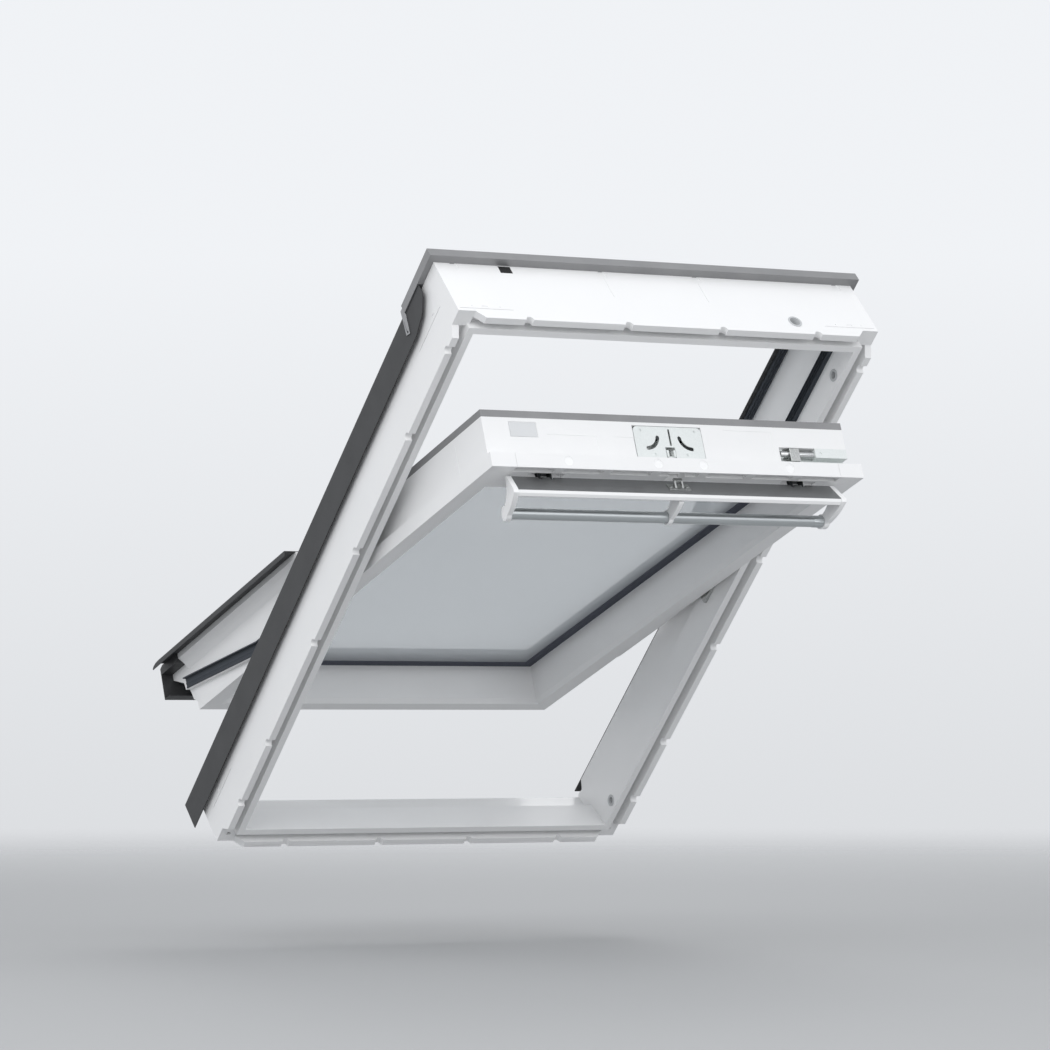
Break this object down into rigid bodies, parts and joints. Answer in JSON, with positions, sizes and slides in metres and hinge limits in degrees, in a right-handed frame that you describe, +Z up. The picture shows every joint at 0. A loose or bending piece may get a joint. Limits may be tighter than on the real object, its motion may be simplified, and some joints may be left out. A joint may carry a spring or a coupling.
{
  "type": "roof skylight",
  "caption": "Centre-pivot roof window: moulded white frame with metal covers, glazed sash that swings on side pivots, vent and control bar across its head.",
  "frame": {"origin": "middle of the frame's outline, on the room-side plane of its corner blocks", "axes": "+X to the window's right seen from the room, +Z up, +Y towards the outside; the frame leans at the roof's 45 degree pitch, its head at -Y +Z"},
  "size_m": [0.802, 1.1182, 0.9454],
  "materials": {
    "white_polyurethane": "satin",
    "hood_aluminium": "satin",
    "clip_aluminium": "satin",
    "dark_cladding": "matt",
    "seal_rubber": "matt",
    "glazing_rubber": "matt",
    "foam": "matt",
    "zinc_steel": "satin",
    "white_plastic": "satin",
    "grommet_plastic": "matt",
    "filter_fabric": "matt",
    "inner_glass": "clear",
    "outer_glass": "clear",
    "lock_steel": "satin",
    "bolt_steel": "polished",
    "label_blank": "satin",
    "bar_aluminium": "brushed",
    "grip_aluminium": "satin",
    "link_steel": "satin"
  },
  "bodies": {
    "frame": {"frame_casing": "white_polyurethane", "top_hood": "hood_aluminium", "hood_clips": "clip_aluminium", "side_cladding_left": "dark_cladding", "side_cladding_right": "dark_cladding", "side_cover_left": "dark_cladding", "side_cover_right": "dark_cladding", "frame_gasket_left": "seal_rubber", "frame_gasket_right": "seal_rubber", "frame_gasket_top": "seal_rubber", "outer_seal_left": "seal_rubber", "outer_seal_right": "seal_rubber", "hinge_plate_left": "zinc_steel", "hinge_plate_right": "zinc_steel", "pivot_pins": "zinc_steel", "bolt_bushes": "white_plastic", "striker_plate": "zinc_steel", "cable_grommet": "grommet_plastic", "foam_pad": "foam", "frame_screws": "zinc_steel"},
    "sash": {"sash_casing": "white_polyurethane", "vent_profile": "white_polyurethane", "vent_filter": "filter_fabric", "lip_plugs": "white_plastic", "inner_pane": "inner_glass", "glass_spacer": "glazing_rubber", "outer_pane": "outer_glass", "glazing_gasket": "glazing_rubber", "glass_seal": "seal_rubber", "sash_cover_left": "hood_aluminium", "sash_cover_right": "hood_aluminium", "sash_cover_top": "hood_aluminium", "sash_cover_bottom": "dark_cladding", "lower_cover_left": "dark_cladding", "lower_cover_right": "dark_cladding", "sash_gasket_left": "seal_rubber", "sash_gasket_right": "seal_rubber", "sash_gasket_bottom": "seal_rubber", "sash_plate_left": "zinc_steel", "sash_plate_right": "zinc_steel", "plate_screws": "zinc_steel", "lock_case": "lock_steel", "lock_screws": "lock_steel", "bolt_case": "lock_steel", "data_plate": "label_blank", "bar_brackets": "zinc_steel"},
    "control_bar": {"bar_plate": "bar_aluminium", "bar_nose": "white_plastic", "bar_cap_left": "white_plastic", "bar_cap_right": "white_plastic", "bar_support": "white_plastic", "bar_grip": "grip_aluminium", "bar_link": "link_steel"},
    "lock_hook": {"lock_hook": "lock_steel"},
    "latch_jaw_left": {"latch_jaw_left": "lock_steel"},
    "latch_jaw_right": {"latch_jaw_right": "lock_steel"},
    "barrel_bolt": {"barrel_bolt": "bolt_steel", "bolt_knob": "bolt_steel"}
  },
  "joints": [
    {"name": "sash_pivot", "type": "hinge", "parent": "frame", "child": "sash", "pos_m": [0, 0.09793, 0.08379], "axis": [1, 0, 0], "range_deg": [-25, 135.78]},
    {"name": "control_bar_turn", "type": "hinge", "parent": "sash", "child": "control_bar", "pos_m": [0, -0.41078, 0.15679], "axis": [1, 0, 0], "range_deg": [-50, 0]},
    {"name": "jaw_left_turn", "type": "hinge", "parent": "sash", "child": "latch_jaw_left", "pos_m": [-0.042, -0.38752, 0.23239], "axis": [0, -0.9397, 0.342], "range_deg": [-72.1, 0.1]},
    {"name": "jaw_right_turn", "type": "hinge", "parent": "sash", "child": "latch_jaw_right", "pos_m": [0.042, -0.38752, 0.23239], "axis": [0, -0.9397, 0.342], "range_deg": [-0.1, 72.1]},
    {"name": "lock_hook_slide", "type": "slide", "parent": "sash", "child": "lock_hook", "axis": [0, 0.342, 0.9397], "range_m": [0, 0.00437]},
    {"name": "barrel_bolt_slide", "type": "slide", "parent": "sash", "child": "barrel_bolt", "axis": [1, 0, 0], "range_m": [0, 0.0252]}
  ],
  "couplings": [
    {"joint": "jaw_left_turn", "follows": "control_bar_turn", "ratio": 1.44},
    {"joint": "jaw_right_turn", "follows": "control_bar_turn", "ratio": -1.44},
    {"joint": "lock_hook_slide", "follows": "control_bar_turn", "m_per_rad": -0.005}
  ]
}
